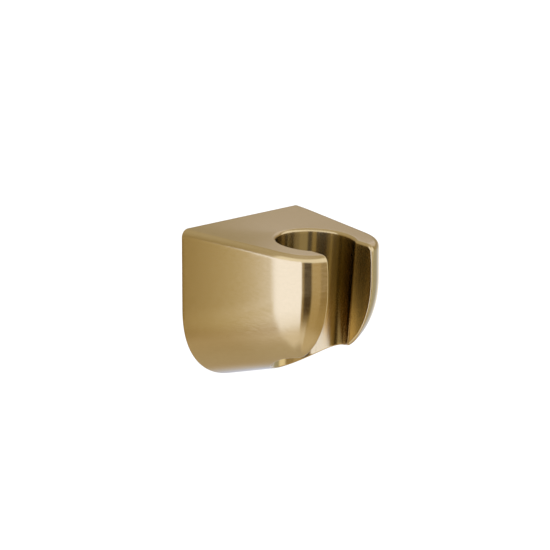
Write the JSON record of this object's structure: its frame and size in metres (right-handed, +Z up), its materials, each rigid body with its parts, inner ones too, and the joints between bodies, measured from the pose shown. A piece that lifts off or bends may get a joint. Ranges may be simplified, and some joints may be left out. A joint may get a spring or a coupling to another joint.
{
  "type": "hand shower holder",
  "caption": "Wall holder for a hand shower: tapered, round-bottomed body with a tilted conical bore and front hose slot, held on a hidden wall plate.",
  "frame": {"origin": "middle of the wall plate's two screw holes, on the wall plane", "axes": "+Z up, the wall is y = 0, the holder reaches towards -Y, and x = 0 is the middle plane"},
  "size_m": [0.052, 0.0469, 0.0496],
  "materials": {
    "brushed_gold": "satin, finely brushed across; polished inside the bore and slot",
    "plate_steel": "plain satin",
    "screw_steel": "plain"
  },
  "bodies": {
    "root": {"holder_body": "brushed_gold", "wall_plate": "plate_steel", "grub_screw": "screw_steel"}
  },
  "joints": []
}
